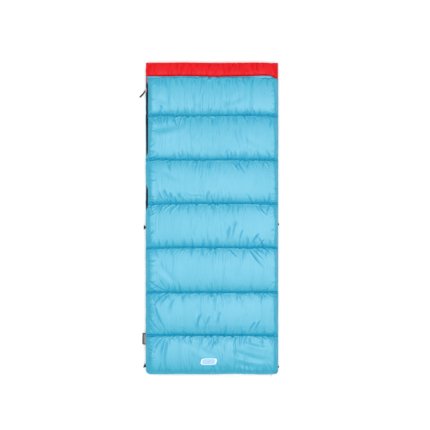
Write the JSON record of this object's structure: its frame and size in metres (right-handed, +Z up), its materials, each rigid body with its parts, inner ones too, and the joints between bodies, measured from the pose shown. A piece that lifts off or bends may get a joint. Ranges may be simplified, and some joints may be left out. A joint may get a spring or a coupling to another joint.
{
  "type": "rectangular sleeping bag",
  "caption": "Rectangular quilted sleeping bag lying flat and zipped, with an opening cover, an L-shaped two-slider zip, a head facing and side hanging loops.",
  "frame": {"origin": "on the floor at the centre of the underside, below the middle of the bag's length and width", "axes": "+Y from foot to head, +X from the zip side to the folded side, +Z up"},
  "size_m": [0.8516, 1.923, 0.088],
  "materials": {
    "shell_fabric": "soft sheen taffeta",
    "lining_fabric": "soft sheen taffeta",
    "batt": "lofted fibre",
    "zip_tape": "woven",
    "zip_coil": "moulded",
    "quilt_thread": "twisted thread",
    "webbing": "woven",
    "label_fabric": "woven, blank",
    "patch_print": "flat print, blank",
    "slider_paint": "satin",
    "pull_metal": "satin",
    "pull_cord": "matte"
  },
  "bodies": {
    "base": {"base_outer_shell": "shell_fabric", "base_batt": "batt", "base_liner": "lining_fabric", "base_head_facing": "lining_fabric", "base_side_fold": "shell_fabric", "base_zip_tape": "zip_tape", "base_zip_teeth": "zip_coil", "base_top_stop": "zip_coil", "zip_retainer_box": "zip_coil", "side_label": "label_fabric", "base_quilt_seam_1": "quilt_thread", "base_quilt_seam_2": "quilt_thread", "base_quilt_seam_3": "quilt_thread", "base_quilt_seam_4": "quilt_thread", "base_quilt_seam_5": "quilt_thread", "base_quilt_seam_6": "quilt_thread", "base_quilt_seam_7": "quilt_thread", "hang_loop_left_mid": "webbing", "hang_loop_left_foot": "webbing", "hang_loop_right_mid": "webbing", "hang_loop_right_foot": "webbing"},
    "cover": {"cover_outer_shell": "shell_fabric", "cover_batt": "batt", "cover_liner": "lining_fabric", "cover_head_facing": "lining_fabric", "cover_side_fold": "shell_fabric", "cover_zip_tape": "zip_tape", "cover_zip_teeth": "zip_coil", "cover_top_stop": "zip_coil", "zip_insertion_pin": "zip_coil", "draft_tube": "lining_fabric", "cover_patch": "patch_print", "cover_quilt_seam_1": "quilt_thread", "cover_quilt_seam_2": "quilt_thread", "cover_quilt_seam_3": "quilt_thread", "cover_quilt_seam_4": "quilt_thread", "cover_quilt_seam_5": "quilt_thread", "cover_quilt_seam_6": "quilt_thread", "cover_quilt_seam_7": "quilt_thread"},
    "head_slider": {"head_slider": "slider_paint"},
    "head_pull": {"head_pull_link": "pull_metal", "head_pull_cord": "pull_cord"},
    "foot_slider": {"foot_slider": "slider_paint"},
    "foot_pull": {"foot_pull_tab": "pull_metal"}
  },
  "joints": [
    {"name": "cover_open", "type": "hinge", "parent": "base", "child": "cover", "pos_m": [0.404, 0, 0.044], "axis": [0, 1, 0], "range_deg": [0, 180]},
    {"name": "head_slider_travel", "type": "slide", "parent": "base", "child": "head_slider", "axis": [0, -1, 0], "range_m": [0, 1.63]},
    {"name": "head_pull_swing", "type": "hinge", "parent": "head_slider", "child": "head_pull", "pos_m": [-0.4058, 0.786, 0.044], "axis": [0, 0, 1], "range_deg": [-118, 13]},
    {"name": "foot_slider_travel", "type": "slide", "parent": "base", "child": "foot_slider", "axis": [-1, 0, 0], "range_m": [0, 0.7]},
    {"name": "foot_pull_swing", "type": "hinge", "parent": "foot_slider", "child": "foot_pull", "pos_m": [0.362, -0.9538, 0.044], "axis": [0, 0, 1], "range_deg": [-75, 75]}
  ]
}
